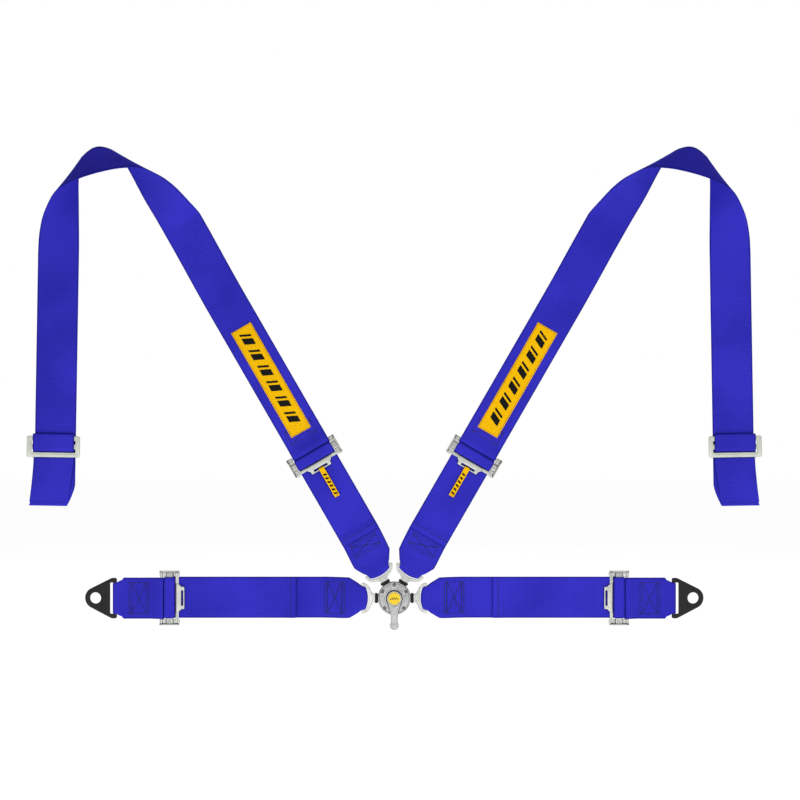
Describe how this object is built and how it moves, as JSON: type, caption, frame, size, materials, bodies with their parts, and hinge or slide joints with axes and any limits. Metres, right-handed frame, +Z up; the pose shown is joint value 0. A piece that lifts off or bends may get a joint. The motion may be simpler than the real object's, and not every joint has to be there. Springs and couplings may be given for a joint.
{
  "type": "racing harness",
  "caption": "Four-point racing harness: cam-lock buckle, webbing lap and shoulder belts with adjusters, lug anchor plates and wrap-around tails.",
  "frame": {"origin": "on the buckle's axis, where it meets the flat back of the buckle's pad", "axes": "+Z up as worn, the front of the harness faces -Y, +X to the right of someone looking at its front; the lap belts lie along X and the shoulder belts rise at 60 degrees"},
  "size_m": [1.3422, 0.0737, 0.8832],
  "materials": {
    "webbing_blue": "woven polyester webbing with a soft sheen",
    "zinc_silver": "bright zinc plated pressed steel",
    "cast_grey": "satin grey cast and coated metal",
    "plate_black": "satin black coated steel",
    "plastic_black": "matt black moulded plastic",
    "label_yellow": "woven amber label tape",
    "badge_yellow": "domed yellow badge",
    "spring_steel": "plain spring steel",
    "rubber_black": "soft black rubber"
  },
  "bodies": {
    "buckle": {"buckle_base": "cast_grey", "buckle_cover": "cast_grey", "buckle_back_pad": "rubber_black", "latch_spring": "spring_steel", "return_spring": "spring_steel", "cover_screw_1": "zinc_silver", "cover_screw_2": "zinc_silver", "cover_screw_3": "zinc_silver", "cover_screw_4": "zinc_silver", "cover_screw_5": "zinc_silver"},
    "lever": {"release_lever": "cast_grey", "lever_badge": "badge_yellow", "lever_spindle": "spring_steel", "release_cam": "spring_steel", "spindle_clip": "spring_steel"},
    "tongue_lap_right": {"tongue_lap_right": "zinc_silver", "tongue_collar_lap_right": "plastic_black"},
    "belt_lap_right": {"load_strap_lap_right": "webbing_blue"},
    "adjuster_lap_right": {"adjuster_frame_lap_right": "zinc_silver"},
    "slider_lap_right": {"adjuster_slider_lap_right": "zinc_silver", "tail_strap_lap_right": "webbing_blue"},
    "anchor_strap_lap_right": {"anchor_strap_lap_right": "webbing_blue"},
    "anchor_plate_lap_right": {"anchor_plate_lap_right": "plate_black"},
    "tongue_shoulder_right": {"tongue_shoulder_right": "zinc_silver", "tongue_collar_shoulder_right": "plastic_black"},
    "belt_shoulder_right": {"load_strap_shoulder_right": "webbing_blue"},
    "adjuster_shoulder_right": {"adjuster_frame_shoulder_right": "zinc_silver"},
    "slider_shoulder_right": {"adjuster_slider_shoulder_right": "zinc_silver", "tail_strap_shoulder_right": "webbing_blue"},
    "upper_strap_shoulder_right": {"upper_strap_shoulder_right": "webbing_blue", "label_shoulder_right": "label_yellow", "tail_return_shoulder_right": "webbing_blue"},
    "tail_slide_shoulder_right": {"three_bar_slide_shoulder_right": "zinc_silver", "slide_wrap_shoulder_right": "webbing_blue"},
    "pull_tab_shoulder_right": {"pull_tab_shoulder_right": "label_yellow"},
    "tongue_shoulder_left": {"tongue_shoulder_left": "zinc_silver", "tongue_collar_shoulder_left": "plastic_black"},
    "belt_shoulder_left": {"load_strap_shoulder_left": "webbing_blue"},
    "adjuster_shoulder_left": {"adjuster_frame_shoulder_left": "zinc_silver"},
    "slider_shoulder_left": {"adjuster_slider_shoulder_left": "zinc_silver", "tail_strap_shoulder_left": "webbing_blue"},
    "upper_strap_shoulder_left": {"upper_strap_shoulder_left": "webbing_blue", "label_shoulder_left": "label_yellow", "tail_return_shoulder_left": "webbing_blue"},
    "tail_slide_shoulder_left": {"three_bar_slide_shoulder_left": "zinc_silver", "slide_wrap_shoulder_left": "webbing_blue"},
    "pull_tab_shoulder_left": {"pull_tab_shoulder_left": "label_yellow"},
    "tongue_lap_left": {"tongue_lap_left": "zinc_silver", "tongue_collar_lap_left": "plastic_black"},
    "belt_lap_left": {"load_strap_lap_left": "webbing_blue"},
    "adjuster_lap_left": {"adjuster_frame_lap_left": "zinc_silver"},
    "slider_lap_left": {"adjuster_slider_lap_left": "zinc_silver", "tail_strap_lap_left": "webbing_blue"},
    "anchor_strap_lap_left": {"anchor_strap_lap_left": "webbing_blue"},
    "anchor_plate_lap_left": {"anchor_plate_lap_left": "plate_black"}
  },
  "joints": [
    {"name": "lever_turn", "type": "hinge", "parent": "buckle", "child": "lever", "pos_m": [0, -0.0095, 0], "axis": [0, 1, 0], "range_deg": [-45, 45], "deforming": ["latch_spring", "return_spring"]},
    {"name": "tongue_release_lap_right", "type": "slide", "parent": "buckle", "child": "tongue_lap_right", "axis": [1, 0, 0], "range_m": [0, 0.045], "deforming": ["latch_spring"]},
    {"name": "tongue_pivot_lap_right", "type": "hinge", "parent": "tongue_lap_right", "child": "belt_lap_right", "pos_m": [0.05365, -0.0095, 0], "axis": [0, 0, 1], "range_deg": [-30, 30]},
    {"name": "adjust_lap_right", "type": "slide", "parent": "belt_lap_right", "child": "adjuster_lap_right", "axis": [-1, 0, 0], "range_m": [0, 0.08], "deforming": ["load_strap_lap_right"]},
    {"name": "slider_grip_lap_right", "type": "slide", "parent": "adjuster_lap_right", "child": "slider_lap_right", "axis": [1, 0, 0], "range_m": [-0.0012, 0.0012]},
    {"name": "strap_swing_lap_right", "type": "hinge", "parent": "adjuster_lap_right", "child": "anchor_strap_lap_right", "pos_m": [0.425, -0.015, 0], "axis": [0, 0, 1], "range_deg": [-45, 45]},
    {"name": "anchor_swing_lap_right", "type": "hinge", "parent": "anchor_strap_lap_right", "child": "anchor_plate_lap_right", "pos_m": [0.5095, -0.01135, 0], "axis": [0, 0, 1], "range_deg": [-60, 60]},
    {"name": "tongue_release_shoulder_right", "type": "slide", "parent": "buckle", "child": "tongue_shoulder_right", "axis": [0.5, 0, 0.866], "range_m": [0, 0.045], "deforming": ["latch_spring"]},
    {"name": "tongue_pivot_shoulder_right", "type": "hinge", "parent": "tongue_shoulder_right", "child": "belt_shoulder_right", "pos_m": [0.02683, -0.0095, 0.04646], "axis": [-0.866, 0, 0.5], "range_deg": [-30, 30]},
    {"name": "adjust_shoulder_right", "type": "slide", "parent": "belt_shoulder_right", "child": "adjuster_shoulder_right", "axis": [-0.5, 0, -0.866], "range_m": [-0.04, 0], "deforming": ["load_strap_shoulder_right"]},
    {"name": "slider_grip_shoulder_right", "type": "slide", "parent": "adjuster_shoulder_right", "child": "slider_shoulder_right", "axis": [0.5, 0, 0.866], "range_m": [-0.0012, 0.0012]},
    {"name": "strap_swing_shoulder_right", "type": "hinge", "parent": "adjuster_shoulder_right", "child": "upper_strap_shoulder_right", "pos_m": [0.156, -0.015, 0.2702], "axis": [-0.866, 0, 0.5], "range_deg": [-20, 20]},
    {"name": "slide_shift_shoulder_right", "type": "slide", "parent": "upper_strap_shoulder_right", "child": "tail_slide_shoulder_right", "axis": [0.0167, 0, -0.9999], "range_m": [-0.04, 0], "deforming": ["tail_return_shoulder_right"]},
    {"name": "pull_tab_swing_shoulder_right", "type": "hinge", "parent": "adjuster_shoulder_right", "child": "pull_tab_shoulder_right", "pos_m": [0.13562, -0.01615, 0.23491], "axis": [-0.866, 0, 0.5], "range_deg": [0, 100]},
    {"name": "tongue_release_shoulder_left", "type": "slide", "parent": "buckle", "child": "tongue_shoulder_left", "axis": [-0.5, 0, 0.866], "range_m": [0, 0.045], "deforming": ["latch_spring"]},
    {"name": "tongue_pivot_shoulder_left", "type": "hinge", "parent": "tongue_shoulder_left", "child": "belt_shoulder_left", "pos_m": [-0.02683, -0.0095, 0.04646], "axis": [-0.866, 0, -0.5], "range_deg": [-30, 30]},
    {"name": "adjust_shoulder_left", "type": "slide", "parent": "belt_shoulder_left", "child": "adjuster_shoulder_left", "axis": [0.5, 0, -0.866], "range_m": [-0.04, 0], "deforming": ["load_strap_shoulder_left"]},
    {"name": "slider_grip_shoulder_left", "type": "slide", "parent": "adjuster_shoulder_left", "child": "slider_shoulder_left", "axis": [-0.5, 0, 0.866], "range_m": [-0.0012, 0.0012]},
    {"name": "strap_swing_shoulder_left", "type": "hinge", "parent": "adjuster_shoulder_left", "child": "upper_strap_shoulder_left", "pos_m": [-0.156, -0.015, 0.2702], "axis": [-0.866, 0, -0.5], "range_deg": [-20, 20]},
    {"name": "slide_shift_shoulder_left", "type": "slide", "parent": "upper_strap_shoulder_left", "child": "tail_slide_shoulder_left", "axis": [-0.0167, 0, -0.9999], "range_m": [-0.04, 0], "deforming": ["tail_return_shoulder_left"]},
    {"name": "pull_tab_swing_shoulder_left", "type": "hinge", "parent": "adjuster_shoulder_left", "child": "pull_tab_shoulder_left", "pos_m": [-0.13562, -0.01615, 0.23491], "axis": [-0.866, 0, -0.5], "range_deg": [0, 100]},
    {"name": "tongue_release_lap_left", "type": "slide", "parent": "buckle", "child": "tongue_lap_left", "axis": [-1, 0, 0], "range_m": [0, 0.045], "deforming": ["latch_spring"]},
    {"name": "tongue_pivot_lap_left", "type": "hinge", "parent": "tongue_lap_left", "child": "belt_lap_left", "pos_m": [-0.05365, -0.0095, 0], "axis": [0, 0, -1], "range_deg": [-30, 30]},
    {"name": "adjust_lap_left", "type": "slide", "parent": "belt_lap_left", "child": "adjuster_lap_left", "axis": [1, 0, 0], "range_m": [0, 0.08], "deforming": ["load_strap_lap_left"]},
    {"name": "slider_grip_lap_left", "type": "slide", "parent": "adjuster_lap_left", "child": "slider_lap_left", "axis": [-1, 0, 0], "range_m": [-0.0012, 0.0012]},
    {"name": "strap_swing_lap_left", "type": "hinge", "parent": "adjuster_lap_left", "child": "anchor_strap_lap_left", "pos_m": [-0.425, -0.015, 0], "axis": [0, 0, -1], "range_deg": [-45, 45]},
    {"name": "anchor_swing_lap_left", "type": "hinge", "parent": "anchor_strap_lap_left", "child": "anchor_plate_lap_left", "pos_m": [-0.5095, -0.01135, 0], "axis": [0, 0, -1], "range_deg": [-60, 60]}
  ]
}
